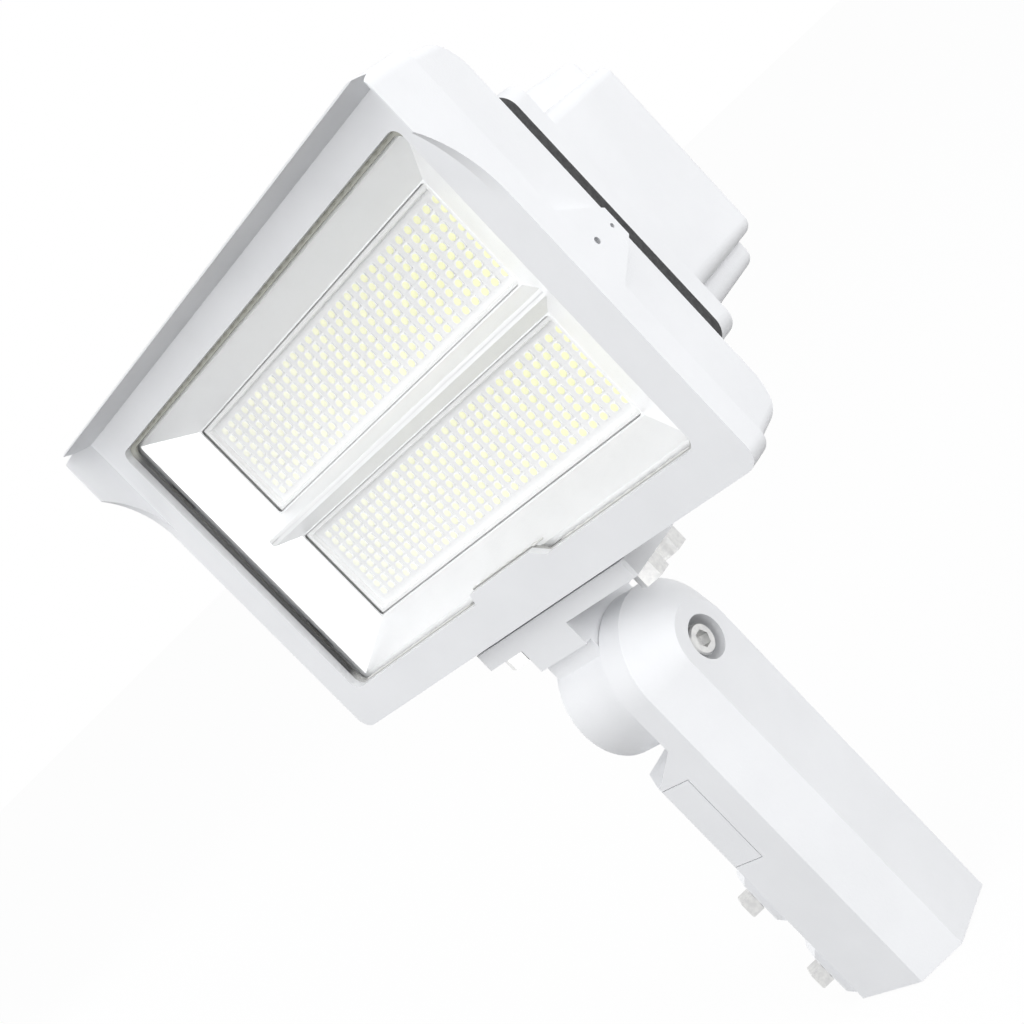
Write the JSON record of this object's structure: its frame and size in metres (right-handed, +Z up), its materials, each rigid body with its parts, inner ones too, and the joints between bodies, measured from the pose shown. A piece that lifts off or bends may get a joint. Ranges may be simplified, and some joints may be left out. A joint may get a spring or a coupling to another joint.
{
  "type": "led flood light",
  "caption": "Hooded rectangular LED flood light head on a tilting knuckle, with a slip fitter foot that drops over a round pole and is clamped by set bolts.",
  "frame": {"origin": "centre of the mouth of the pole socket in the slip fitter", "axes": "+Z up the pole, X along the tilt axis, the lamp shines towards -Y at rest"},
  "size_m": [0.313, 0.152, 0.4617],
  "materials": {
    "white_casting": "white powder coat on die-cast aluminium, fine satin texture",
    "gasket": "matte black silicone rubber",
    "zinc_steel": "bright zinc plate",
    "lens_glass": "clear tempered glass",
    "reflector_sheet": "satin anodised sheet",
    "led_board": "white solder mask on a metal core board",
    "board_frame": "white moulded frame",
    "gear_steel": "plain sheet",
    "driver_case": "plain driver case",
    "terminal_plastic": "moulded terminal block"
  },
  "bodies": {
    "fitter": {"slip_fitter": "white_casting", "wiring_cover": "white_casting", "wiring_cover_gasket": "gasket", "wiring_cover_screws": "zinc_steel"},
    "lower_bolt": {"lower_set_bolt": "zinc_steel"},
    "upper_bolt": {"upper_set_bolt": "zinc_steel"},
    "head": {"knuckle": "white_casting", "tilt_bolt": "zinc_steel", "tilt_washer": "zinc_steel", "tilt_nut": "zinc_steel", "knuckle_bolts": "zinc_steel", "knuckle_gasket": "gasket", "housing": "white_casting", "frame_gasket": "gasket", "door_frame": "white_casting", "frame_screws": "zinc_steel", "lens_gasket": "gasket", "lens": "lens_glass", "lens_clips": "zinc_steel", "lens_clip_screws": "zinc_steel", "reflector": "reflector_sheet", "lower_led_board": "led_board", "upper_led_board": "led_board", "lower_board_frame": "board_frame", "upper_board_frame": "board_frame", "board_screws": "zinc_steel", "driver_lid": "white_casting", "lid_gasket": "gasket", "lid_screws": "zinc_steel", "gear_tray": "gear_steel", "driver": "driver_case", "driver_screws": "zinc_steel", "terminal_block": "terminal_plastic", "terminal_screws": "zinc_steel"}
  },
  "joints": [
    {"name": "head_tilt", "type": "hinge", "parent": "fitter", "child": "head", "pos_m": [0, 0, 0.1872], "axis": [1, 0, 0], "range_deg": [-90, 90]},
    {"name": "lower_bolt_travel", "type": "slide", "parent": "fitter", "child": "lower_bolt", "axis": [-0.7071, -0.7071, 0], "range_m": [-0.0005, 0.008]},
    {"name": "upper_bolt_travel", "type": "slide", "parent": "fitter", "child": "upper_bolt", "axis": [-0.7071, -0.7071, 0], "range_m": [-0.0005, 0.008]}
  ]
}
